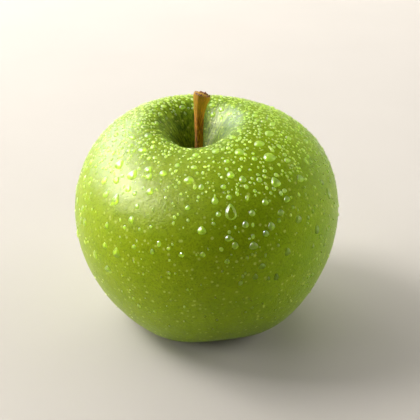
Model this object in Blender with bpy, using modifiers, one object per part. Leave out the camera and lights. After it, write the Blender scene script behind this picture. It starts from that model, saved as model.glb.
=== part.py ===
"""A fresh green apple: the fruit, its stem, and the dried calyx in the basin underneath.

Metres, +Z up. The apple stands on the plane z = 0 on five small flats, one under each lobe of
its base. The origin lies on that plane under the middle of the fruit, and the side that is
seen first faces -Y. The fruit is a turned form that growth has pushed about: five lobes at the
base, shoulders that are higher at the back, and a stem cavity a little off centre.
"""

import math

import bmesh
import bpy
from mathutils import Matrix, Vector

MM = 0.001

# The fruit, in millimetres. The outline is a smooth curve steered by these points, each a
# radius and a height, from the floor of the stem's socket over the shoulder and down to the
# calyx tube in the middle of the base.
FRUIT_RADIUS = 39.0
CREST_RADIUS = 16.0
CREST_HEIGHT = 62.0
OUTLINE = (
    (0.0, 44.6),
    (1.55, 44.6),
    (1.5, 47.3),
    (2.6, 48.2),
    (4.6, 53.0),
    (11.5, 62.8),
    (17.6, 62.2),
    (26.4, 58.6),
    (34.6, 51.7),
    (39.2, 40.8),
    (39.2, 27.6),
    (35.0, 14.6),
    (28.7, 5.0),
    (21.0, -0.3),
    (11.8, -0.3),
    (7.5, 6.0),
    (4.0, 7.8),
    (2.1, 7.8),
    (1.9, 11.5),
    (0.0, 11.5),
)
OUTLINE_POINTS_PER_SPAN = 4
TURN_STEPS = 48

# How the fruit departs from a turned form
LOBES = 5
LOBE_TURN = math.radians(245)
LOBE_DROP = 0.5
LOBE_SWELL = 0.3
LOBE_REACH = 24.0
SHOULDER_START = 30.0
RIGHT_SHOULDER_RISE = 0.7
BACK_SHOULDER_RISE = 1.9
SHOULDER_OVAL = 0.9
SHOULDER_OVAL_SKEW = -0.5
CAVITY_OFFSET = -2.4

# The stem: points of its middle line, each x, y, height and radius, rooted in its socket
STEM_LINE = (
    (CAVITY_OFFSET, 0.0, 45.7, 1.1),
    (CAVITY_OFFSET, 0.0, 49.0, 1.1),
    (-2.2, 0.0, 55.5, 1.1),
    (-2.3, 0.1, 62.0, 1.25),
    (-2.0, 0.1, 66.2, 1.6),
    (-1.4, 0.1, 69.4, 2.2),
)
STEM_POINTS_PER_SPAN = 4
STEM_BEVEL_RESOLUTION = 6
STEM_END_SLOPE = 0.12
STEM_END_FLATNESS = 0.3
STEM_FLARE_START = 60.0

# The calyx: five dried sepals around a tuft of stamens
SEPALS = 5
SEPAL_TURN = math.radians(24)
SEPAL_THICKNESS = 0.5
# Points along one sepal, each a distance from the axis, a height and a half width
SEPAL_LINE = (
    (4.1, 6.9, 1.7),
    (3.4, 6.1, 1.7),
    (3.0, 5.0, 1.45),
    (3.2, 4.0, 1.15),
    (4.2, 3.2, 0.75),
    (5.6, 3.0, 0.2),
)
SEPAL_CUPPING = 0.25
TUFT_OUTLINE = (
    (0.0, 11.1),
    (1.4, 11.1),
    (1.4, 8.0),
    (1.8, 4.8),
    (1.2, 3.9),
    (0.0, 3.9),
)
TUFT_POINTS_PER_SPAN = 3
TUFT_STEPS = 24
TUFT_FLUTES = 8
TUFT_FLUTE_DEPTH = 0.15

WELD = 0.00001
SCREW_MERGE = 0.00005

SKIN_COLOUR = (0.27, 0.46, 0.02, 1.0)
STEM_COLOUR = (0.20, 0.09, 0.02, 1.0)
SEPAL_COLOUR = (0.16, 0.12, 0.06, 1.0)
TUFT_COLOUR = (0.07, 0.045, 0.025, 1.0)


def ease(value, start, end):
    """0 below start, 1 above end, and an S-shaped rise between them."""
    share = min(max((value - start) / (end - start), 0.0), 1.0)
    return share * share * (3 - 2 * share)


def clear_scene():
    for thing in list(bpy.data.objects):
        bpy.data.objects.remove(thing)


def new_collection(name):
    collection = bpy.data.collections.new(name)
    bpy.context.scene.collection.children.link(collection)
    return collection


def new_material(name, colour, roughness):
    material = bpy.data.materials.new(name)
    material.use_nodes = True
    shader = material.node_tree.nodes["Principled BSDF"]
    shader.inputs["Base Color"].default_value = colour
    shader.inputs["Roughness"].default_value = roughness
    shader.inputs["Metallic"].default_value = 0.0
    return material


def evaluated_mesh(thing, name):
    """The mesh that an object shows with its modifiers or its bevel, as data of its own."""
    bpy.context.view_layer.update()
    graph = bpy.context.evaluated_depsgraph_get()
    mesh = bpy.data.meshes.new_from_object(thing.evaluated_get(graph), depsgraph=graph)
    mesh.name = name
    return mesh


def add_part(collection, name, mesh, material):
    """One named sub-part, welded, facing out and shaded smooth."""
    shape = bmesh.new()
    shape.from_mesh(mesh)
    bmesh.ops.remove_doubles(shape, verts=shape.verts, dist=WELD)
    bmesh.ops.recalc_face_normals(shape, faces=shape.faces)
    shape.to_mesh(mesh)
    shape.free()
    mesh.materials.clear()
    mesh.materials.append(material)
    mesh.shade_smooth()
    part = bpy.data.objects.new(name, mesh)
    collection.objects.link(part)
    return part


def turned_mesh(name, outline, points_per_span, steps):
    """A closed turned form: a smooth curve through the XZ plane, turned once round the Z axis."""
    curve = bpy.data.curves.new(name, "CURVE")
    curve.dimensions = "3D"
    curve.resolution_u = points_per_span
    spline = curve.splines.new("NURBS")
    spline.points.add(len(outline) - 1)
    for point, (radius, height) in zip(spline.points, outline):
        point.co = (radius * MM, 0.0, height * MM, 1.0)
    spline.order_u = 4
    spline.use_endpoint_u = True
    guide = bpy.data.objects.new(name, curve)
    bpy.context.scene.collection.objects.link(guide)
    screw = guide.modifiers.new("Turn", "SCREW")
    screw.axis = "Z"
    screw.steps = steps
    screw.render_steps = steps
    screw.use_merge_vertices = True
    screw.merge_threshold = SCREW_MERGE
    mesh = evaluated_mesh(guide, name)
    bpy.data.objects.remove(guide)
    return mesh


def grown(point):
    """Where growth has pushed a point of the turned fruit."""
    x, y, height = point / MM
    turn = math.atan2(y, x)
    radius = math.hypot(x, y)
    lobe = math.cos(LOBES * (turn - LOBE_TURN))
    near_base = 1 - ease(height, 0.0, LOBE_REACH)
    near_top = ease(height, SHOULDER_START, CREST_HEIGHT)
    swell = 1 + near_base * lobe * LOBE_SWELL / FRUIT_RADIUS
    drop = near_base * lobe * LOBE_DROP * ease(radius, 7.0, 13.0)
    rise = RIGHT_SHOULDER_RISE * math.cos(turn) + BACK_SHOULDER_RISE * math.sin(turn)
    rise += SHOULDER_OVAL * math.cos(2 * turn) + SHOULDER_OVAL_SKEW * math.sin(2 * turn)
    inside = ease(height, SHOULDER_START, 44.0) * (1 - ease(radius, 8.0, FRUIT_RADIUS))
    x = x * swell + CAVITY_OFFSET * inside
    y = y * swell
    height += rise * near_top * ease(radius, 0.0, CREST_RADIUS) - drop
    return Vector((x, y, max(height, 0.0))) * MM


def add_fruit(collection, material):
    mesh = turned_mesh("fruit", OUTLINE, OUTLINE_POINTS_PER_SPAN, TURN_STEPS)
    for vertex in mesh.vertices:
        vertex.co = grown(vertex.co)
    add_part(collection, "fruit", mesh, material)


def stem_shaped(point):
    """The stem's end, flattened front to back as it flares and snapped off at a slant."""
    x, y, height = point / MM
    flare = ease(height, STEM_FLARE_START, STEM_LINE[-1][2])
    y *= 1 - STEM_END_FLATNESS * flare
    height -= STEM_END_SLOPE * flare * (x - STEM_LINE[-1][0])
    return Vector((x, y, height)) * MM


def add_stem(collection, material):
    curve = bpy.data.curves.new("stem", "CURVE")
    curve.dimensions = "3D"
    curve.resolution_u = STEM_POINTS_PER_SPAN
    curve.bevel_depth = MM
    curve.bevel_resolution = STEM_BEVEL_RESOLUTION
    curve.use_fill_caps = True
    spline = curve.splines.new("BEZIER")
    spline.bezier_points.add(len(STEM_LINE) - 1)
    for point, (x, y, height, radius) in zip(spline.bezier_points, STEM_LINE):
        point.co = Vector((x, y, height)) * MM
        point.radius = radius
        point.handle_left_type = "AUTO"
        point.handle_right_type = "AUTO"
    guide = bpy.data.objects.new("stem", curve)
    bpy.context.scene.collection.objects.link(guide)
    mesh = evaluated_mesh(guide, "stem")
    bpy.data.objects.remove(guide)
    for vertex in mesh.vertices:
        vertex.co = stem_shaped(vertex.co)
    part = add_part(collection, "stem", mesh, material)
    part.data.set_sharp_from_angle(angle=math.radians(50))


def sepal_mesh(name, turn):
    """One sepal: a tapering blade, hollow across its width, turned about the axis to its place."""
    shape = bmesh.new()
    across = (-1.0, -0.5, 0.0, 0.5, 1.0)
    rows = []
    for distance, height, half_width in SEPAL_LINE:
        row = []
        for side in across:
            cup = SEPAL_CUPPING * half_width * side * side
            row.append(shape.verts.new(Vector((distance - cup, half_width * side, height)) * MM))
        rows.append(row)
    for lower, upper in zip(rows, rows[1:]):
        for i in range(len(across) - 1):
            shape.faces.new((lower[i], lower[i + 1], upper[i + 1], upper[i]))
    bmesh.ops.rotate(shape, verts=shape.verts, cent=(0, 0, 0), matrix=Matrix.Rotation(turn, 3, "Z"))
    mesh = bpy.data.meshes.new(name)
    shape.to_mesh(mesh)
    shape.free()
    return mesh


def add_sepals(collection, material):
    for i in range(SEPALS):
        name = f"sepal_{i + 1}"
        mesh = sepal_mesh(name, SEPAL_TURN + i * math.tau / SEPALS)
        mesh.materials.append(material)
        mesh.shade_smooth()
        sepal = bpy.data.objects.new(name, mesh)
        collection.objects.link(sepal)
        wall = sepal.modifiers.new("Thickness", "SOLIDIFY")
        wall.thickness = SEPAL_THICKNESS * MM
        wall.offset = 0.0


def add_stamen_tuft(collection, material):
    mesh = turned_mesh("stamen_tuft", TUFT_OUTLINE, TUFT_POINTS_PER_SPAN, TUFT_STEPS)
    for vertex in mesh.vertices:
        turn = math.atan2(vertex.co.y, vertex.co.x)
        flute = 1 - TUFT_FLUTE_DEPTH * (0.5 - 0.5 * math.cos(TUFT_FLUTES * turn))
        vertex.co.x *= flute
        vertex.co.y *= flute
    add_part(collection, "stamen_tuft", mesh, material)


def main():
    clear_scene()
    collection = new_collection("green_apple")
    skin = new_material("waxy_skin", SKIN_COLOUR, 0.35)
    wood = new_material("stem_wood", STEM_COLOUR, 0.6)
    dry_leaf = new_material("dry_sepal", SEPAL_COLOUR, 0.85)
    dry_stamen = new_material("dry_stamen", TUFT_COLOUR, 0.9)
    add_fruit(collection, skin)
    add_stem(collection, wood)
    add_sepals(collection, dry_leaf)
    add_stamen_tuft(collection, dry_stamen)


main()
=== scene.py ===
"""A fresh green apple, beaded with water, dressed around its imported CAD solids.

Figures are in millimetres until add_piece turns them into metres, and the camera, the lamps and
the floor are in metres. The outline, the lobes and the stem's middle line repeat those of the
CAD, so every piece lies where its solid lies.
"""

import math

import bmesh
import bpy
import numpy as np
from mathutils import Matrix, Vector, noise
from mathutils.bvhtree import BVHTree


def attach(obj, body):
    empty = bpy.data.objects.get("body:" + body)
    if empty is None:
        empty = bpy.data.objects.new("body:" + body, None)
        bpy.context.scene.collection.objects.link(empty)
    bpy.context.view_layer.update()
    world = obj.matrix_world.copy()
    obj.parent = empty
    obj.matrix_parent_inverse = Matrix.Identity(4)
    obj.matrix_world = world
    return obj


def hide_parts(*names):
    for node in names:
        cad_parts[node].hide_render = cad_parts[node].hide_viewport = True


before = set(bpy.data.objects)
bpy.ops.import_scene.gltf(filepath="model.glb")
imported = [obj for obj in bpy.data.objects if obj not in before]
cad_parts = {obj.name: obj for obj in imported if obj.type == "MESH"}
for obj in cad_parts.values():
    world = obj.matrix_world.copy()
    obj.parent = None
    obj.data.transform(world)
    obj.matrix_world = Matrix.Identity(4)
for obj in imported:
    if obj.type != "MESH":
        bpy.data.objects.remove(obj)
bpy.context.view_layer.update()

MM = 0.001

# The fruit: radius and height along its outline, from the cavity's floor to the calyx tube. Ten
# of the points were fitted by least squares to the fruit's edge in the photo, then rounded and
# partly changed
FRUIT_RADIUS = 39.0
BODY_MIDDLE = 31.0
UNDER_CAVITY = 44.0
CREST_RADIUS = 16.0
CREST_HEIGHT = 62.0
OUTLINE = (
    (0.0, 47.2),
    (1.3, 47.2),
    (2.4, 48.0),
    (4.6, 53.0),
    (11.5, 62.8),
    (17.6, 62.2),
    (26.4, 58.6),
    (34.6, 51.7),
    (39.2, 40.8),
    (39.2, 27.6),
    (35.0, 14.6),
    (28.7, 5.0),
    (21.0, -0.3),
    (11.8, -0.3),
    (7.5, 6.0),
    (4.0, 7.8),
    (2.1, 7.8),
    (1.9, 11.5),
    (0.0, 11.5),
)
SKIN_ROWS = 238
SKIN_COLUMNS = 384
LOBES = 5
LOBE_TURN = math.radians(245)
LOBE_DROP = 0.5
LOBE_SWELL = 0.3
LOBE_REACH = 24.0
SHOULDER_START = 30.0
RIGHT_SHOULDER_RISE = 0.7
BACK_SHOULDER_RISE = 1.9
SHOULDER_OVAL = 0.9
SHOULDER_OVAL_SKEW = -0.5
CAVITY_OFFSET = -2.4
SKIN_WAVE = 0.07
SKIN_WAVE_LENGTH = 7.0

# The stem: x, y, height and radius along its middle line
STEM_LINE = (
    (-2.4, 0.0, 46.4, 2.3),
    (-2.4, 0.0, 47.3, 1.9),
    (-2.4, 0.0, 48.4, 1.3),
    (-2.4, 0.0, 50.0, 1.12),
    (-2.25, 0.0, 55.0, 1.08),
    (-2.25, 0.1, 60.0, 1.15),
    (-2.15, 0.1, 64.0, 1.4),
    (-1.85, 0.1, 67.0, 1.85),
    (-1.45, 0.1, 69.2, 2.25),
    (-1.35, 0.1, 70.0, 2.25),
)
STEM_ROWS = 150
STEM_COLUMNS = 72
STEM_END_SLOPE = 0.32
STEM_END_FLATNESS = 0.3
STEM_FLARE_START = 60.0
# Its ridges: how many run round it, how high they are as a share of its radius, and their turn
STEM_RIDGES = ((7, 0.05, 1.0), (11, 0.035, 2.0), (3, 0.04, 0.0))
STEM_END_ROWS = 14
STEM_END_SUNK = 0.9
STEM_END_ROOT_WIDTH = 0.9
STEM_END_CROSSED = 0.93
STEM_END_WIDTH = 0.985
STEM_END_LIP = 0.25
STEM_END_LIP_WIDTH = 0.12
STEM_END_DISH = 0.35

# The calyx: distance from the axis, height and half width along one sepal
SEPALS = 5
SEPAL_TURN = math.radians(24)
SEPAL_LINE = (
    (4.1, 6.9, 1.7),
    (3.4, 6.1, 1.7),
    (3.0, 5.0, 1.45),
    (3.2, 4.0, 1.15),
    (4.2, 3.2, 0.75),
    (5.6, 3.0, 0.2),
)
SEPAL_ROWS = 60
SEPAL_COLUMNS = 40
SEPAL_THICKNESS = 0.5
SEPAL_CUPPING = 0.25
SEPAL_VEIN = 0.05
STAMENS = 19
STAMEN_TURN = 2.4
STAMEN_SPACING = 0.30
STAMEN_LEAN = 0.18
STAMEN_ROOT = 11.0
STAMEN_TIPS = (4.0, 5.6)
STAMEN_ROWS = 9
STAMEN_RADIUS = 0.15
STAMEN_TAPER = 0.05
STAMEN_HEAD = 0.08

# The water: how steeply a drop meets the skin, how much it hangs, and how it is meshed
CONTACT_ANGLE = math.radians(66)
WATER_ROUGHNESS = 0.28
WATER_IOR = 1.333
HANG = 1.0
FULL_HANG_WIDTH = 2.5
HANG_BELLY = 0.55
HANG_SHIFT = 0.13
LARGE_DROP_ROWS = 6
LARGE_DROP_COLUMNS = 22
LARGE_DROP_SUNK = 0.04
SMALL_DROP_ROWS = 3
SMALL_DROP_COLUMNS = 8
SMALL_DROP_SUNK = 0.12
# How many drops are tried, their usual width, how it varies, and its limits
WATER_SEED = 7
LOOSE_DROPS = 1000
LOOSE_WIDTH = 1.15
LOOSE_WIDTH_SPREAD = 0.38
LOOSE_WIDTH_LIMITS = (0.75, 3.0)
MIST_DROPS = 3900
MIST_WIDTH = 0.66
MIST_WIDTH_SPREAD = 0.35
MIST_WIDTH_LIMITS = (0.3, 1.3)
MIST_PIECES = 3
# A drop keeps others this far from its middle, as a share of its size
DROP_ROOM = 0.55
# The side of the cells in which taken places are kept, and the cells looked at round a place
TAKEN_CELL = 2.6
REACH = (-1, 0, 1)
CLEAR_OF_FRUIT = 80.0
# The biggest drops: azimuth and elevation, in degrees, of the line from the middle of the fruit
# through the drop, then its width and its length down the slope. The rows weren't chosen by
# hand: a scratch script printed them from places read off the photo, and some of the widths and
# lengths were changed afterwards.
DROP_AIM = Vector((0.0, 0.0, BODY_MIDDLE))
NAMED_DROPS = (
    # in front
    (281, 30, 2.9, 4.3), (274, 35, 1.8, 2.2), (285, 46, 2.0, 2.3), (291, 43, 1.9, 2.1),
    (300, 41, 1.6, 1.6), (298, 57, 2.5, 2.5), (289, 16, 2.4, 2.2), (279, 20, 1.8, 1.7),
    (298, 22, 1.9, 2.2), (299, 0, 1.3, 2.3), (278, 11, 1.3, 1.4), (304, 26, 1.9, 1.7),
    (279, 61, 2.0, 2.3), (260, 59, 1.8, 1.9), (261, 51, 1.8, 1.4), (267, 41, 1.5, 1.7),
    # on the right
    (315, 49, 3.6, 3.0), (318, 57, 3.0, 2.3), (308, 38, 2.6, 3.0), (335, 58, 3.2, 2.2),
    (312, 21, 1.9, 2.2), (322, 13, 1.8, 2.8), (338, 22, 2.0, 3.2), (323, 35, 2.1, 2.2),
    (324, 44, 2.0, 1.7), (305, 51, 1.5, 1.6), (351, 59, 2.8, 1.6), (352, 43, 2.4, 1.7),
    # on the left
    (225, 40, 2.8, 3.3), (212, 41, 2.8, 3.0), (224, 28, 2.6, 3.5), (218, 35, 2.1, 2.3),
    (211, 32, 2.0, 2.6), (235, 42, 2.1, 2.2), (240, 36, 2.0, 2.3), (228, 34, 1.7, 1.9),
    (217, 28, 1.8, 2.5), (189, 32, 2.4, 2.6), (236, 23, 1.7, 2.2), (224, 17, 1.4, 2.0),
    (231, 8, 2.2, 3.1), (217, 1, 1.9, 3.0), (248, 13, 1.1, 1.5), (216, 52, 2.6, 2.2),
    (198, 53, 2.6, 1.7), (204, 59, 2.1, 2.2), (191, 60, 2.4, 2.1), (208, 54, 1.6, 1.4),
    (220, 56, 1.8, 1.9), (185, 47, 2.4, 1.6),
    # round the cavity
    (181, 65, 2.0, 1.4), (147, 65, 2.0, 1.4), (125, 68, 1.9, 1.5), (82, 70, 1.9, 1.8),
    (72, 67, 2.0, 1.5), (65, 72, 2.0, 1.6), (78, 73, 1.7, 1.8), (46, 71, 2.2, 1.5),
    (8, 70, 2.2, 1.4),
)

# The camera, and the lamps round the fruit
CAMERA_AIM = Vector((0.0, 0.0, 0.032))
CAMERA_ELEVATION = math.radians(28.5)
CAMERA_DISTANCE = 0.2968
CAMERA_LENS = 85.0
CAMERA_SHIFT = 0.0081
FLOOR_REACH = 0.9
FLOOR_SIDES = 120
SUNLIT = (1.0, 0.985, 0.96)
SKY = (0.93, 0.88, 1.55)
WORLD_COLOUR = (1.0, 0.98, 0.95, 1.0)
WORLD_STRENGTH = 0.14
BACKDROP_STRENGTH = 0.8
# Each lamp: name, azimuth, elevation, distance, size, power and colour. LAMPS light the fruit and
# MIRRORED_LAMPS are only mirrored in it, so that the shading and the gloss can be set apart
LAMPS = (
    ("window", 167, 44, 1.20, (0.50, 0.46), 11.6, SUNLIT),
    ("window_wall", 138, 34, 1.20, (0.80, 0.72), 8.5, SUNLIT),
    ("window_low", 186, 10, 1.20, (0.68, 0.60), 11.0, SUNLIT),
    ("right", 14, 10, 1.40, (1.20, 0.80), 18.5, SUNLIT),
    ("back", 90, 31, 0.90, (0.80, 0.50), 5.0, SUNLIT),
)
MIRRORED_LAMPS = (
    ("window_gloss", 178, 43, 1.20, (0.66, 0.54), 80.0, SKY),
    ("window_gloss_wall", 140, 28, 1.20, (0.95, 0.80), 30.0, SKY),
    ("right_gloss", 22, 16, 0.90, (1.20, 0.60), 1.8, SUNLIT),
)


def ease(value, start, end):
    """0 below start, 1 above end, and an S-shaped rise between them."""
    share = np.clip((value - start) / (end - start), 0.0, 1.0)
    return share * share * (3 - 2 * share)


def spline(controls, count):
    """Points along the clamped cubic B-spline that the controls steer."""
    controls = np.array(controls, float)
    degree = 3
    spans = len(controls) - degree
    knots = np.concatenate([np.zeros(degree), np.arange(spans + 1), np.full(degree, spans)])
    at = np.linspace(0, spans, count)
    span = np.clip(at.astype(int), 0, spans - 1) + degree
    points = [controls[span - degree + i] for i in range(degree + 1)]
    for level in range(1, degree + 1):
        for i in range(degree, level - 1, -1):
            left = knots[span - degree + i]
            right = knots[span + 1 + i - level]
            share = ((at - left) / (right - left))[:, None]
            points[i] = (1 - share) * points[i - 1] + share * points[i]
    return points[degree]


def through(stations, count):
    """Values that pass smoothly through a table of stations, evenly spaced in station number."""
    stations = np.array(stations, float)
    slopes = np.gradient(stations, axis=0)
    at = np.linspace(0, len(stations) - 1, count)
    first = np.clip(at.astype(int), 0, len(stations) - 2)
    share = (at - first)[:, None]
    square = share * share
    cube = square * share
    start = (2 * cube - 3 * square + 1) * stations[first] + (cube - 2 * square + share) * slopes[first]
    end = (3 * square - 2 * cube) * stations[first + 1] + (cube - square) * slopes[first + 1]
    return start + end


def wavy(points, length, seed):
    """Smooth noise from -1 to 1 at each point."""
    return np.array([noise.noise(Vector(p) / length + Vector((seed, 0, 0))) for p in points])


def pointing(azimuth, elevation):
    """The direction at these angles in degrees. Azimuth runs anticlockwise from +X, from above."""
    turn, rise = math.radians(azimuth), math.radians(elevation)
    level = math.cos(rise)
    return Vector((math.cos(turn) * level, math.sin(turn) * level, math.sin(rise)))


def lofted(rings, first_tip, last_tip):
    """Points and faces of a closed skin over a row of rings, with a point at either end."""
    count, around = rings.shape[:2]
    points = np.concatenate([[first_tip], rings.reshape(-1, 3), [last_tip]])
    index = 1 + np.arange(count * around).reshape(count, around)
    after = np.roll(index, -1, axis=1)
    quads = np.stack([index[:-1], after[:-1], after[1:], index[1:]], -1).reshape(-1, 4)
    tip = np.full(around, len(points) - 1)
    fans = np.concatenate(
        [np.stack([0 * tip, after[0], index[0]], -1), np.stack([tip, index[-1], after[-1]], -1)]
    )
    return points, quads.tolist() + fans.tolist()


def joined(solids):
    """Several solids' points and faces as one list of each."""
    points, faces, total = [], [], 0
    for part_points, part_faces in solids:
        points.append(part_points)
        faces += [[i + total for i in face] for face in part_faces]
        total += len(part_points)
    return np.concatenate(points), faces


def add_piece(name, solid, material, replaced=()):
    """One visible piece, given in millimetres, that rides on the root body."""
    points, faces = solid
    mesh = bpy.data.meshes.new(name)
    mesh.from_pydata((np.array(points) * MM).tolist(), [], faces)
    shape = bmesh.new()
    shape.from_mesh(mesh)
    bmesh.ops.recalc_face_normals(shape, faces=shape.faces)
    shape.to_mesh(mesh)
    shape.free()
    mesh.shade_smooth()
    mesh.materials.append(material)
    piece = bpy.data.objects.new(name, mesh)
    bpy.context.scene.collection.objects.link(piece)
    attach(piece, "root")
    if replaced:
        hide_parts(*replaced)


# ------------------------------------------------------------------ materials

BLACK = (0.0, 0.0, 0.0)
WHITE = (1.0, 1.0, 1.0)
SKIN_GREEN = (0.192, 0.330, 0.0)
SKIN_PATCH = (0.211, 0.335, 0.0005)
# Partly painted light: the lighter, yellower skin of the lamp-lit upper left, partly its sunned side
SKIN_SUNNED_AND_LIT = (0.275, 0.370, 0.003)
SKIN_MOTTLE = (0.185, 0.300, 0.001)
SKIN_STREAK = (0.270, 0.390, 0.004)
# Partly painted shade: the cavity's dark ground, far darker than the skin's own green
CAVITY_DARK_AND_SHADE = (0.035, 0.10, 0.0)
CAVITY_PALE = (0.27, 0.41, 0.02)
LENTICEL = (0.52, 0.62, 0.10)
FLECK = (0.42, 0.55, 0.03)
LENTICELS_PER_MM = 0.62
LENTICEL_SIZES = (0.10, 0.27)
FLECKS_PER_MM = 1.05
WOOD_DARK = (0.20, 0.062, 0.004)
# Partly a painted highlight: the orange put on the stem's raised fibres
WOOD_ORANGE_LIT = (0.74, 0.32, 0.016)
WOOD_BLOTCH = (0.09, 0.028, 0.003)
WOOD_OLIVE = (0.40, 0.27, 0.006)
WOOD_SPECK = (0.55, 0.38, 0.16)
TORN_DARK = (0.10, 0.034, 0.010)
TORN_BROWN = (0.42, 0.20, 0.075)
TORN_PALE = (0.62, 0.44, 0.26)
SEPAL_DARK = (0.10, 0.062, 0.026)
SEPAL_BROWN = (0.26, 0.19, 0.095)
SEPAL_DOWN = (0.46, 0.41, 0.30)
STAMEN_DARK = (0.035, 0.02, 0.01)
STAMEN_BROWN = (0.16, 0.10, 0.05)
FLOOR_SHADE = (0.52, 0.488, 0.447)
FLOOR_PALE = (0.55, 0.517, 0.473)
# Water: its colour, and what part of a lamp's light goes straight through it to the skin
DROP_COLOUR = (0.86, 0.98, 0.34)
DROP_SHADE = (0.52, 0.58, 0.34)
DROP_CLEARNESS = 0.98
MIST_COLOUR = (0.86, 0.96, 0.46)
MIST_SHADE = (0.66, 0.70, 0.50)
MIST_CLEARNESS = 0.93


class Nodes:
    """A material's node tree, and short ways to add to it."""

    def __init__(self, name):
        self.material = bpy.data.materials.new(name)
        self.material.use_nodes = True
        self.tree = self.material.node_tree
        self.shader = self.tree.nodes["Principled BSDF"]
        self.output = self.tree.nodes["Material Output"]
        place = self.tree.nodes.new("ShaderNodeTexCoord").outputs["Object"]
        self.place = self.vector("SCALE", place, scale=1 / MM)

    def add(self, kind, **settings):
        node = self.tree.nodes.new(kind)
        for key, value in settings.items():
            setattr(node, key, value)
        return node

    def put(self, value, socket):
        if isinstance(value, bpy.types.NodeSocket):
            self.tree.links.new(value, socket)
        else:
            socket.default_value = value

    def vector(self, operation, first, second=None, scale=None):
        node = self.add("ShaderNodeVectorMath", operation=operation)
        self.put(first, node.inputs[0])
        if second is not None:
            self.put(second, node.inputs[1])
        if scale is not None:
            self.put(scale, node.inputs["Scale"])
        return node.outputs["Value" if operation in ("LENGTH", "DOT_PRODUCT") else "Vector"]

    def math(self, operation, first, second=0.0):
        node = self.add("ShaderNodeMath", operation=operation)
        self.put(first, node.inputs[0])
        self.put(second, node.inputs[1])
        return node.outputs["Value"]

    def split(self, vector):
        node = self.add("ShaderNodeSeparateXYZ")
        self.put(vector, node.inputs[0])
        return node.outputs

    def noise(self, scale, detail=2.0, roughness=0.5, at=None):
        node = self.add("ShaderNodeTexNoise")
        self.put(self.place if at is None else at, node.inputs["Vector"])
        node.inputs["Scale"].default_value = scale
        node.inputs["Detail"].default_value = detail
        node.inputs["Roughness"].default_value = roughness
        return node.outputs["Fac"]

    def cells(self, scale):
        node = self.add("ShaderNodeTexVoronoi", feature="F1")
        self.put(self.place, node.inputs["Vector"])
        node.inputs["Scale"].default_value = scale
        return node.outputs

    def spread(self, value, low, high, to_low=0.0, to_high=1.0, smooth=True):
        """value, taken from low..high to to_low..to_high and held at the ends."""
        node = self.add("ShaderNodeMapRange")
        node.interpolation_type = "SMOOTHSTEP" if smooth else "LINEAR"
        for socket, number in zip(node.inputs[:5], (value, low, high, to_low, to_high)):
            self.put(number, socket)
        return node.outputs["Result"]

    def mix(self, share, first, second, blend="MIX"):
        node = self.add("ShaderNodeMix", data_type="RGBA", blend_type=blend)
        for socket, value in ((0, share), (6, first), (7, second)):
            if isinstance(value, tuple):
                value = (*value, 1.0)
            self.put(value, node.inputs[socket])
        return node.outputs[2]

    def bump(self, height, distance, strength=1.0, under=None):
        """distance is how deep the height's 0 to 1 goes, in millimetres."""
        node = self.add("ShaderNodeBump")
        self.put(height, node.inputs["Height"])
        node.inputs["Distance"].default_value = distance * MM
        node.inputs["Strength"].default_value = strength
        if under is not None:
            self.put(under, node.inputs["Normal"])
        return node.outputs["Normal"]

    def finish(self, **sockets):
        for name, value in sockets.items():
            socket = self.shader.inputs[name.replace("_", " ").title().replace("Ior", "IOR")]
            if isinstance(value, tuple) and len(value) == 3 and socket.type == "RGBA":
                value = (*value, 1.0)
            self.put(value, socket)
        return self.material


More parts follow.
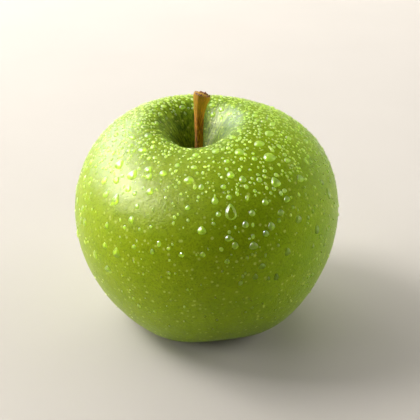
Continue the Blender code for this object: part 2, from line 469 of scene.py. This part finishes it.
def skin_material():
    """Waxy green skin: yellower in patches, finely grained, dotted with pale lenticels, and
    streaked where it folds into the cavity. Towards the upper left, where the lamps shine, it is
    painted lighter and yellower, partly its sunned side and partly painted light; painted shade
    darkens the cavity."""
    nodes = Nodes("waxy_green_skin")
    z = nodes.split(nodes.place)["Z"]
    grain = nodes.noise(1.9, 3.0, 0.65)
    mottle = nodes.noise(0.32, 3.0, 0.6)
    patch = nodes.noise(0.045, 2.0, 0.5)

    # Streaks that run down the fruit: noise that changes round it and hardly changes down it
    across = nodes.vector("SUBTRACT", nodes.place, (CAVITY_OFFSET, 0.0, 0.0))
    flat = nodes.vector("MULTIPLY", across, (1.0, 1.0, 0.0))
    direction = nodes.vector("NORMALIZE", flat)
    rise = nodes.vector("MULTIPLY", nodes.place, (0.0, 0.0, 0.05))
    streak_place = nodes.vector("ADD", direction, rise)
    streak = nodes.noise(11.0, 4.0, 0.65, at=streak_place)
    wide_streak = nodes.noise(3.5, 2.0, 0.5, at=streak_place)
    from_axis = nodes.vector("LENGTH", flat)
    near = nodes.spread(from_axis, 22.0, 7.0)
    high = nodes.spread(z, UNDER_CAVITY, 48.0)
    cavity = nodes.math("MULTIPLY", near, high)

    colour = nodes.mix(nodes.spread(patch, 0.35, 0.65), SKIN_GREEN, SKIN_PATCH)
    # Partly painted light: the skin is painted lighter and yellower towards the upper left, where the
    # window lamps shine. It stands for the lit side as well as for the fruit's sunned side
    leftward = nodes.vector("DOT_PRODUCT", nodes.place, (-0.022, -0.004, 0.012))
    sunned_and_lit_side = nodes.spread(leftward, -0.3, 1.2)
    colour = nodes.mix(sunned_and_lit_side, colour, SKIN_SUNNED_AND_LIT)
    colour = nodes.mix(nodes.spread(mottle, 0.35, 0.7, 0.0, 0.5), colour, SKIN_MOTTLE)
    body_streak = nodes.spread(wide_streak, 0.35, 0.7, 0.0, 0.35)
    colour = nodes.mix(body_streak, colour, SKIN_STREAK)
    # Painted shade in the cavity: the pale streaks are the skin's own, but their very dark ground and
    # the darkening towards the cavity's floor below stand for shade
    deep = nodes.mix(nodes.spread(streak, 0.38, 0.62), CAVITY_DARK_AND_SHADE, CAVITY_PALE)
    painted_cavity_shade = nodes.spread(z, 46.0, 59.0, 0.45, 1.0)
    deep = nodes.mix(1.0, deep, nodes.mix(painted_cavity_shade, BLACK, WHITE), "MULTIPLY")
    colour = nodes.mix(nodes.math("MULTIPLY", cavity, 0.85), colour, deep)

    dots = nodes.cells(LENTICELS_PER_MM)
    dot_size = nodes.spread(nodes.split(dots["Color"])[0], 0.0, 1.0, *LENTICEL_SIZES)
    soft_dot = nodes.spread(nodes.math("DIVIDE", dots["Distance"], dot_size), 1.3, 0.6)
    colour = nodes.mix(nodes.math("MULTIPLY", soft_dot, 0.8), colour, LENTICEL)
    flecks = nodes.cells(FLECKS_PER_MM)
    soft_fleck = nodes.spread(flecks["Distance"], 0.34, 0.12)
    colour = nodes.mix(nodes.math("MULTIPLY", soft_fleck, 0.22), colour, FLECK)
    shade = nodes.spread(grain, 0.36, 0.64, 0.74, 1.28)
    colour = nodes.mix(1.0, colour, nodes.mix(shade, BLACK, WHITE), "MULTIPLY")

    fine = nodes.bump(grain, 0.10)
    lumps = nodes.bump(mottle, 0.16, under=fine)
    rough = nodes.spread(grain, 0.3, 0.7, 0.29, 0.41)
    return nodes.finish(
        base_color=colour, roughness=rough, normal=lumps, ior=1.45,
        specular_ior_level=0.2, specular_tint=(0.95, 1.0, 0.3),
        sheen_weight=0.03, sheen_roughness=0.5, sheen_tint=(1.0, 1.0, 0.9),
        subsurface_weight=0.1, subsurface_radius=(0.0030, 0.0040, 0.0008), subsurface_scale=1.0,
    )


def water_material(name, colour, clearness, shade):
    """Water that lets part of each lamp's light straight through to the skin, as shade says,
    besides the light that it bends."""
    nodes = Nodes(name)
    ripple = nodes.bump(nodes.noise(0.9, 1.0), 0.02, 0.3)
    material = nodes.finish(
        base_color=colour, roughness=WATER_ROUGHNESS, normal=ripple, ior=WATER_IOR,
        transmission_weight=clearness, specular_tint=(1.0, 0.97, 0.5), specular_ior_level=0.25,
        coat_weight=0.25, coat_roughness=0.09, coat_ior=WATER_IOR,
    )
    passing = nodes.add("ShaderNodeBsdfTransparent")
    passing.inputs["Color"].default_value = (*shade, 1.0)
    ray = nodes.add("ShaderNodeLightPath")
    either = nodes.add("ShaderNodeMixShader")
    nodes.put(ray.outputs["Is Shadow Ray"], either.inputs[0])
    nodes.put(nodes.shader.outputs["BSDF"], either.inputs[1])
    nodes.put(passing.outputs["BSDF"], either.inputs[2])
    nodes.put(either.outputs["Shader"], nodes.output.inputs["Surface"])
    return material


def stem_material():
    """Woody stalk: orange on its raised fibres, partly the wood's own tone and partly a painted
    highlight where the light catches it, brown in its grooves, olive below its end.
    """
    nodes = Nodes("stem_wood")
    z = nodes.split(nodes.place)["Z"]
    stretched = nodes.vector("MULTIPLY", nodes.place, (1.0, 1.0, 0.12))
    fibre = nodes.noise(4.5, 4.0, 0.6, at=stretched)
    blotch = nodes.noise(0.45, 3.0, 0.6)
    speck = nodes.noise(6.0, 2.0)
    # Partly painted highlight: the raised fibres are painted orange, as where the light catches them
    colour = nodes.mix(nodes.spread(fibre, 0.35, 0.7), WOOD_DARK, WOOD_ORANGE_LIT)
    colour = nodes.mix(nodes.spread(blotch, 0.45, 0.7, 0.0, 0.6), colour, WOOD_BLOTCH)
    groove = nodes.spread(fibre, 0.7, 0.3, 0.35, 0.9)
    olive = nodes.math("MULTIPLY", nodes.spread(z, 62.0, 67.5), groove)
    colour = nodes.mix(olive, colour, WOOD_OLIVE)
    colour = nodes.mix(nodes.spread(speck, 0.62, 0.75, 0.0, 0.5), colour, WOOD_SPECK)
    height = nodes.math("ADD", fibre, nodes.math("MULTIPLY", speck, 0.3))
    rough = nodes.spread(fibre, 0.3, 0.7, 0.45, 0.65)
    grooved = nodes.bump(height, 0.12, 0.8)
    return nodes.finish(
        base_color=colour, roughness=rough, normal=grooved, specular_ior_level=0.15
    )


def broken_wood_material():
    """The snapped end: reddish brown, pitted, with pale torn fibres."""
    nodes = Nodes("stem_broken_end")
    lump = nodes.noise(1.6, 4.0, 0.7)
    colour = nodes.mix(nodes.spread(lump, 0.38, 0.62), TORN_DARK, TORN_BROWN)
    colour = nodes.mix(nodes.spread(nodes.noise(3.1, 2.0), 0.58, 0.70), colour, TORN_PALE)
    return nodes.finish(
        base_color=colour, roughness=0.75, normal=nodes.bump(lump, 0.2, 0.8), specular_ior_level=0.1
    )


def sepal_material():
    """A dry leaf: brown between darker veins, with greyish down."""
    nodes = Nodes("dry_sepal")
    stretched = nodes.vector("MULTIPLY", nodes.place, (1.0, 1.0, 0.3))
    vein = nodes.noise(3.0, 3.0, 0.6, at=stretched)
    down = nodes.noise(9.0, 2.0)
    colour = nodes.mix(nodes.spread(vein, 0.35, 0.65), SEPAL_DARK, SEPAL_BROWN)
    colour = nodes.mix(nodes.spread(down, 0.55, 0.75, 0.0, 0.7), colour, SEPAL_DOWN)
    return nodes.finish(
        base_color=colour, roughness=0.88, normal=nodes.bump(vein, 0.15, 0.9), sheen_weight=0.3
    )


def tuft_material():
    nodes = Nodes("dry_stamen")
    fibre = nodes.noise(3.5, 3.0)
    colour = nodes.mix(nodes.spread(fibre, 0.35, 0.65), STAMEN_DARK, STAMEN_BROWN)
    return nodes.finish(base_color=colour, roughness=0.9, normal=nodes.bump(fibre, 0.1, 0.8))


def floor_material():
    nodes = Nodes("pale_floor")
    cloud = nodes.noise(0.02, 2.0)
    colour = nodes.mix(cloud, FLOOR_SHADE, FLOOR_PALE)
    return nodes.finish(base_color=colour, roughness=0.9, specular_ior_level=0.0)


# ------------------------------------------------------------------ the fruit


def grown(x, y, height):
    """Where growth has pushed points of the turned fruit."""
    turn = np.arctan2(y, x)
    radius = np.hypot(x, y)
    lobe = np.cos(LOBES * (turn - LOBE_TURN))
    near_base = 1 - ease(height, 0.0, LOBE_REACH)
    near_top = ease(height, SHOULDER_START, CREST_HEIGHT)
    swell = 1 + near_base * lobe * LOBE_SWELL / FRUIT_RADIUS
    drop = near_base * lobe * LOBE_DROP * ease(radius, 7.0, 13.0)
    rise = RIGHT_SHOULDER_RISE * np.cos(turn) + BACK_SHOULDER_RISE * np.sin(turn)
    rise += SHOULDER_OVAL * np.cos(2 * turn) + SHOULDER_OVAL_SKEW * np.sin(2 * turn)
    inside = ease(height, SHOULDER_START, UNDER_CAVITY) * (1 - ease(radius, 8.0, FRUIT_RADIUS))
    height = height + rise * near_top * ease(radius, 0.0, CREST_RADIUS) - drop
    return x * swell + CAVITY_OFFSET * inside, y * swell, np.maximum(height, 0.0)


def fruit_rings():
    """Rings of points down the fruit, pushed slightly inwards by noise except where it rests and
    where it meets the stem."""
    outline = spline(OUTLINE, SKIN_ROWS)[1:-1]
    turn = np.linspace(0, math.tau, SKIN_COLUMNS, endpoint=False)
    radius, height = outline[:, :1], outline[:, 1:]
    x, y, z = grown(radius * np.cos(turn), radius * np.sin(turn), height + 0 * turn)
    rings = np.stack([x, y, z], -1)
    flat = rings.reshape(-1, 3)
    wave = wavy(flat, SKIN_WAVE_LENGTH, 3.0) + 0.5 * wavy(flat, SKIN_WAVE_LENGTH / 3, 8.0)
    outward = flat - np.array([0.0, 0.0, BODY_MIDDLE])
    outward /= np.linalg.norm(outward, axis=1)[:, None]
    from_stem = np.hypot(flat[:, 0] - CAVITY_OFFSET, flat[:, 1])
    free = ease(flat[:, 2], 0.5, 4.0) * ease(from_stem, 3.0, 6.0)
    flat = flat - outward * (SKIN_WAVE * (1 + wave) * free)[:, None]
    return flat.reshape(rings.shape)


def fruit_solid(rings):
    top = (CAVITY_OFFSET, 0.0, OUTLINE[0][1])
    bottom = (0.0, 0.0, OUTLINE[-1][1])
    return lofted(rings, top, bottom)


# ------------------------------------------------------------------ the stem


def stem_rings():
    line = through(STEM_LINE, STEM_ROWS)
    turn = np.linspace(0, math.tau, STEM_COLUMNS, endpoint=False)
    ridge = sum(height * np.cos(count * turn + start) for count, height, start in STEM_RIDGES)
    rings = []
    for x, y, z, radius in line:
        flare = ease(z, STEM_FLARE_START, STEM_LINE[-1][2])
        r = radius * (1 + ridge * (1 + 0.5 * math.sin(z * 0.35)))
        ring_x = x + r * np.cos(turn)
        ring_y = y + r * np.sin(turn) * (1 - STEM_END_FLATNESS * flare)
        ring_z = z - STEM_END_SLOPE * flare * (ring_x - STEM_LINE[-1][0])
        rings.append(np.stack([ring_x, ring_y, ring_z], -1))
    return np.array(rings)


def roughened(rings, amount, length, seed):
    """Rings pushed about by noise, the same way on every run."""
    flat = rings.reshape(-1, 3)
    moved = np.stack([wavy(flat, length, seed + i) for i in range(3)], -1)
    return (flat + amount * moved).reshape(rings.shape)


def stem_solid():
    rings = roughened(stem_rings(), 0.07, 1.3, 20.0)
    return lofted(rings, (CAVITY_OFFSET, 0.0, STEM_LINE[0][2]), rings[-1].mean(0))


def stem_end_solid():
    """The snapped end, a ragged cap let into the top of the stem."""
    edge = stem_rings()[-1]
    middle = edge.mean(0)
    root = np.array([0, 0, STEM_END_SUNK])
    rings = [middle + (edge - middle) * STEM_END_ROOT_WIDTH - root]
    for i in range(STEM_END_ROWS):
        share = 1.0 - STEM_END_CROSSED * (i / (STEM_END_ROWS - 1))
        ring = middle + (edge - middle) * share * STEM_END_WIDTH
        lip = STEM_END_LIP * math.exp(-((share - 1.0) / STEM_END_LIP_WIDTH) ** 2)
        ring[:, 2] += lip - STEM_END_DISH * (1 - share)
        rings.append(ring)
    rings = np.array(rings)
    top = rings[1:].reshape(-1, 3)
    top[:, 2] += 0.75 * wavy(top, 1.1, 31.0) + 0.5 * wavy(top, 0.5, 37.0)
    rings[1:] = top.reshape(rings[1:].shape)
    return lofted(rings, middle - root, rings[-1].mean(0))


# ------------------------------------------------------------------ the calyx


def sepal_solid(number):
    """A dry pointed leaf with a torn edge and raised veins, thick in its middle."""
    line = through(SEPAL_LINE, SEPAL_ROWS)
    turn = np.linspace(0, math.tau, SEPAL_COLUMNS, endpoint=False)
    side, face = np.cos(turn), np.sin(turn)
    rings = []
    for row, (distance, height, half_width) in enumerate(line):
        torn = 1 + 0.10 * math.sin(row * 1.9 + number) + 0.06 * math.sin(row * 3.7 + 2 * number)
        across = half_width * torn * side
        vein = SEPAL_VEIN * np.cos(5 * math.pi * side)
        thick = (SEPAL_THICKNESS / 2) * (np.abs(face) ** 0.7) * np.sign(face) * 0.75 + vein * face
        cup = SEPAL_CUPPING * half_width * side * side
        rings.append(np.stack([distance - cup + thick, across, height + 0 * side], -1))
    rings = roughened(np.array(rings), 0.12, 1.1, 50.0 + 3 * number)
    angle = SEPAL_TURN + number * math.tau / SEPALS
    cosine, sine = math.cos(angle), math.sin(angle)
    rings = rings @ np.array([[cosine, sine, 0], [-sine, cosine, 0], [0, 0, 1]])
    return lofted(rings, rings[0].mean(0), rings[-1].mean(0))


def thread(points, radii, sides=8):
    """A closed round thread through the points."""
    points = np.array(points, float)
    along = np.gradient(points, axis=0)
    along /= np.linalg.norm(along, axis=1)[:, None]
    right = np.cross(along, (0.0, 1.0, 0.2))
    right /= np.linalg.norm(right, axis=1)[:, None]
    front = np.cross(along, right)
    turn = np.linspace(0, math.tau, sides, endpoint=False)
    rings = points[:, None] + np.array(radii)[:, None, None] * (
        right[:, None] * np.cos(turn)[None, :, None] + front[:, None] * np.sin(turn)[None, :, None]
    )
    return lofted(rings, points[0], points[-1])


def tuft_solid():
    """Dried stamens and styles, standing close together in the calyx tube."""
    solids = []
    draw = np.random.default_rng(11)
    rows = np.linspace(0, 1, STAMEN_ROWS)
    for i in range(STAMENS):
        angle = i * STAMEN_TURN
        out = STAMEN_SPACING * math.sqrt(i)
        lean = draw.uniform(-STAMEN_LEAN, STAMEN_LEAN, 2)
        tip = draw.uniform(*STAMEN_TIPS)
        x = out * math.cos(angle) * (0.75 + 0.25 * rows) + lean[0] * rows ** 2
        y = out * math.sin(angle) * (0.75 + 0.25 * rows) + lean[1] * rows ** 2
        z = STAMEN_ROOT + (tip - STAMEN_ROOT) * rows
        radii = STAMEN_RADIUS - STAMEN_TAPER * rows
        radii[-2:] += STAMEN_HEAD
        radii[-1] = STAMEN_HEAD
        solids.append(thread(np.stack([x, y, z], -1), radii))
    return joined(solids)


# ------------------------------------------------------------------ the water


def cap_rings(count):
    """Width and lift of the rings of a domed drop, both 0 to 1, from its rim to near its top."""
    edge, floor = math.sin(CONTACT_ANGLE), math.cos(CONTACT_ANGLE)
    widths = [math.cos(0.5 * math.pi * i / count) for i in range(count)]
    return [(w, (math.sqrt(1 - (w * edge) ** 2) - floor) / (1 - floor)) for w in widths]


def slope_axes(normal):
    """Directions along the skin: down the slope, and across it."""
    down = Vector((0, 0, -1)) + normal * normal.z
    if down.length < 0.05:
        down = Vector((0, -1, 0)) + normal * normal.y
    down.normalize()
    return down, normal.cross(down)


def large_drop(tree, place, normal, width, length, draw):
    """A drop that lies on the curved skin: its rim wavers, and the steeper the skin, the more
    its weight hangs to its lower end."""
    down, side = slope_axes(normal)
    hang = HANG * math.sqrt(max(1 - normal.z ** 2, 0.0)) * min(width / FULL_HANG_WIDTH, 1.0)
    turn = np.linspace(0, math.tau, LARGE_DROP_COLUMNS, endpoint=False)
    rim = 1 + draw.uniform(0.0, 0.06) * np.cos(2 * turn + draw.uniform(0, 6.3))
    rim += draw.uniform(0.0, 0.04) * np.cos(3 * turn + draw.uniform(0, 6.3))
    along = 0.5 * length * np.cos(turn) * rim
    across = 0.5 * width * np.sin(turn) * rim * (1 + HANG_BELLY * hang * np.cos(turn))
    height = 0.25 * (width + length) * math.tan(CONTACT_ANGLE / 2) * draw.uniform(0.85, 1.1)
    rings = []
    for share, lift in cap_rings(LARGE_DROP_ROWS):
        shift = HANG_SHIFT * hang * length * lift
        ring = []
        for a, c in zip(along, across):
            over = place + down * (a * share + shift) + side * (c * share)
            foot, up = tree.find_nearest(over)[:2]
            ring.append(foot + up * (lift * height - LARGE_DROP_SUNK))
        rings.append(ring)
    rings = np.array(rings)
    crown = rings[-1].mean(0) + np.array(normal) * (1 - lift) * height
    return lofted(rings, rings[0].mean(0), crown)


def small_drops(places, normals, widths, draw):
    """Many small drops in one go: low wavering domes, each square to the skin under it."""
    down = np.array([0.0, 0.0, -1.0]) + normals * normals[:, 2:]
    down /= np.maximum(np.linalg.norm(down, axis=1), 0.001)[:, None]
    side = np.cross(normals, down)
    turn = np.linspace(0, math.tau, SMALL_DROP_COLUMNS, endpoint=False)
    stretch = draw.uniform(0.9, 1.6, len(places))
    twist = draw.uniform(0, 6.3, (len(places), 1))
    waver = 1 + 0.09 * np.cos(2 * turn + twist) + 0.05 * np.cos(3 * turn - twist)
    rim = 0.5 * widths[:, None] * waver
    height = 0.5 * widths * math.tan(CONTACT_ANGLE / 2)
    rings = []
    for share, lift in cap_rings(SMALL_DROP_ROWS):
        along = (rim * share * np.cos(turn) * stretch[:, None])[:, :, None] * down[:, None]
        across = (rim * share * np.sin(turn))[:, :, None] * side[:, None]
        up = (height * (lift - SMALL_DROP_SUNK))[:, None, None] * normals[:, None]
        rings.append(places[:, None] + along + across + up)
    solids = []
    for i in range(len(places)):
        own = np.array([ring[i] for ring in rings])
        crown = places[i] + normals[i] * height[i] * (1 - SMALL_DROP_SUNK)
        solids.append(lofted(own, own[0].mean(0), crown))
    return joined(solids)


class Scatter:
    """Picks places on the skin at random, and keeps drops from running into each other."""

    def __init__(self, rings, seed):
        self.draw = np.random.default_rng(seed)
        after = np.roll(rings, -1, axis=1)
        self.corners = np.stack([rings[:-1], after[:-1], after[1:], rings[1:]], 2).reshape(-1, 4, 3)
        cross = np.cross(
            self.corners[:, 2] - self.corners[:, 0], self.corners[:, 3] - self.corners[:, 1]
        )
        self.areas = np.linalg.norm(cross, axis=1)
        self.normals = -cross / np.maximum(self.areas, 1e-9)[:, None]
        self.middles = self.corners.mean(1)
        self.taken = {}

    def free(self, place, radius):
        """Whether a drop fits here; if it does, the place is taken."""
        cell = tuple(int(c // TAKEN_CELL) for c in place)
        x, y, z = cell
        for key in [(x + i, y + j, z + k) for i in REACH for j in REACH for k in REACH]:
            for other, other_radius in self.taken.get(key, ()):
                if math.dist(place, other) < radius + other_radius:
                    return False
        self.taken.setdefault(cell, []).append((tuple(place), radius))
        return True

    def pick(self, count, density):
        """Random places, thick or thin on the ground as density says, and the normals there."""
        weights = self.areas * density(self.middles)
        chosen = self.draw.choice(len(weights), count, p=weights / weights.sum())
        u, v = self.draw.random((2, count, 1))
        first, second, third, fourth = self.corners[chosen].transpose(1, 0, 2)
        places = (first * (1 - u) + second * u) * (1 - v) + (fourth * (1 - u) + third * u) * v
        return places, self.normals[chosen]


def mist_density(middles):
    """Mist settles on top: thick over the shoulders, thinner in front and below, and none deep in
    the cavity or underneath."""
    height = middles[:, 2]
    from_axis = np.hypot(middles[:, 0] - CAVITY_OFFSET, middles[:, 1])
    front = 1 - 0.6 * ease(-middles[:, 1], 5.0, 24.0)
    shoulder = 0.03 + 0.97 * ease(height, UNDER_CAVITY, 64.0) ** 1.7 * front
    cavity = ease(from_axis, 8.0, 14.0)
    under = ease(height, 8.0, 24.0)
    return shoulder * under * np.where(height > UNDER_CAVITY, cavity, 1.0)


def drop_density(middles):
    """Drops big enough to see singly: most on the shoulders, fewer in front and on the sides."""
    height = middles[:, 2]
    from_axis = np.hypot(middles[:, 0] - CAVITY_OFFSET, middles[:, 1])
    shoulder = 0.14 + 0.86 * ease(height, 32.0, 62.0)
    front = 1 - 0.75 * ease(-middles[:, 1], 2.0, 20.0)
    cavity = ease(from_axis, 9.0, 13.0)
    under = ease(height, 14.0, 34.0)
    return shoulder * front * under * np.where(height > UNDER_CAVITY, cavity, 1.0)


def aimed(tree, azimuth, elevation):
    """The place on the skin that a line from inside the fruit passes through, and its normal."""
    out = pointing(azimuth, elevation)
    return tree.ray_cast(DROP_AIM + out * CLEAR_OF_FRUIT, -out)[:2]


def named_drops(tree, scatter):
    drops = []
    for azimuth, elevation, width, length in NAMED_DROPS:
        place, normal = aimed(tree, azimuth, elevation)
        if scatter.free(place, 0.5 * max(width, length)):
            drops.append(large_drop(tree, place, normal, width, length, scatter.draw))
    return drops


def loose_drops(tree, scatter):
    """Scattered drops, rounder on level skin and longer on steep skin."""
    drops = []
    draw = scatter.draw
    places, normals = scatter.pick(LOOSE_DROPS, drop_density)
    for place, normal in zip(places, normals):
        width = draw.lognormal(math.log(LOOSE_WIDTH), LOOSE_WIDTH_SPREAD)
        width = float(np.clip(width, *LOOSE_WIDTH_LIMITS))
        length = width * draw.uniform(0.9, 1.0 + 0.4 * (1 - abs(normal[2])))
        if scatter.free(place, DROP_ROOM * length):
            drops.append(large_drop(tree, Vector(place), Vector(normal), width, length, draw))
    return drops


def add_mist(scatter):
    mist = water_material("water_mist", MIST_COLOUR, MIST_CLEARNESS, MIST_SHADE)
    draw = scatter.draw
    places, normals = scatter.pick(MIST_DROPS, mist_density)
    widths = draw.lognormal(math.log(MIST_WIDTH), MIST_WIDTH_SPREAD, MIST_DROPS)
    widths = np.clip(widths, *MIST_WIDTH_LIMITS)
    kept = [i for i in range(MIST_DROPS) if scatter.free(places[i], DROP_ROOM * widths[i])]
    for part in range(MIST_PIECES):
        chosen = kept[part::MIST_PIECES]
        solid = small_drops(places[chosen], normals[chosen], widths[chosen], draw)
        add_piece(f"water_mist_{part + 1}", solid, mist)


def add_water(fruit, rings):
    tree = BVHTree.FromPolygons(fruit[0].tolist(), fruit[1])
    scatter = Scatter(rings, WATER_SEED)
    large = named_drops(tree, scatter) + loose_drops(tree, scatter)
    water = water_material("clear_water", DROP_COLOUR, DROP_CLEARNESS, DROP_SHADE)
    add_piece("water_drops", joined(large), water)
    add_mist(scatter)


# ------------------------------------------------------------------ lights, floor, camera


def add_floor():
    mesh = bpy.data.meshes.new("floor")
    turns = [math.tau * i / FLOOR_SIDES for i in range(FLOOR_SIDES)]
    edge = [(FLOOR_REACH * math.cos(turn), FLOOR_REACH * math.sin(turn), 0) for turn in turns]
    mesh.from_pydata(edge, [], [tuple(range(FLOOR_SIDES))])
    mesh.materials.append(floor_material())
    floor = bpy.data.objects.new("floor", mesh)
    bpy.context.scene.collection.objects.link(floor)


def add_lamp(name, azimuth, elevation, distance, size, power, colour):
    """A rectangular lamp that faces the fruit."""
    direction = pointing(azimuth, elevation)
    data = bpy.data.lights.new(name, "AREA")
    data.shape = "RECTANGLE"
    data.size, data.size_y = size
    data.energy = power
    data.color = colour
    lamp = bpy.data.objects.new(name, data)
    lamp.location = CAMERA_AIM + direction * distance
    lamp.rotation_euler = (-direction).to_track_quat("-Z", "Y").to_euler()
    bpy.context.scene.collection.objects.link(lamp)
    return lamp


def add_lights():
    for row in LAMPS:
        add_lamp(*row).visible_glossy = False
    for row in MIRRORED_LAMPS:
        lamp = add_lamp(*row)
        lamp.visible_diffuse = False
        lamp.visible_transmission = False


def add_world():
    """A dim even glow, and a brighter plain backdrop that only the camera sees."""
    world = bpy.data.worlds.new("studio")
    world.use_nodes = True
    tree = world.node_tree
    glow = tree.nodes["Background"]
    glow.inputs["Color"].default_value = WORLD_COLOUR
    glow.inputs["Strength"].default_value = WORLD_STRENGTH
    backdrop = tree.nodes.new("ShaderNodeBackground")
    backdrop.inputs["Color"].default_value = WORLD_COLOUR
    backdrop.inputs["Strength"].default_value = BACKDROP_STRENGTH
    ray = tree.nodes.new("ShaderNodeLightPath")
    either = tree.nodes.new("ShaderNodeMixShader")
    tree.links.new(ray.outputs["Is Camera Ray"], either.inputs[0])
    tree.links.new(glow.outputs[0], either.inputs[1])
    tree.links.new(backdrop.outputs[0], either.inputs[2])
    tree.links.new(either.outputs[0], tree.nodes["World Output"].inputs["Surface"])
    bpy.context.scene.world = world


def add_camera():
    data = bpy.data.cameras.new("camera")
    data.lens = CAMERA_LENS
    data.shift_x = CAMERA_SHIFT
    data.shift_y = CAMERA_SHIFT
    data.clip_start = 0.01
    camera = bpy.data.objects.new("camera", data)
    back = Vector((0.0, -math.cos(CAMERA_ELEVATION), math.sin(CAMERA_ELEVATION)))
    camera.location = CAMERA_AIM + back * CAMERA_DISTANCE
    camera.rotation_euler = (-back).to_track_quat("-Z", "Y").to_euler()
    bpy.context.scene.collection.objects.link(camera)
    bpy.context.scene.camera = camera


def main():
    rings = fruit_rings()
    fruit = fruit_solid(rings)
    add_piece("apple_skin", fruit, skin_material(), ["fruit"])
    add_piece("stem_stalk", stem_solid(), stem_material(), ["stem"])
    add_piece("stem_broken_end", stem_end_solid(), broken_wood_material())
    sepal = sepal_material()
    for i in range(SEPALS):
        add_piece(f"sepal_leaf_{i + 1}", sepal_solid(i), sepal, [f"sepal_{i + 1}"])
    add_piece("stamen_threads", tuft_solid(), tuft_material(), ["stamen_tuft"])
    add_water(fruit, rings)
    add_floor()
    add_lights()
    add_world()
    add_camera()
    bpy.context.scene.view_settings.view_transform = "Standard"


main()
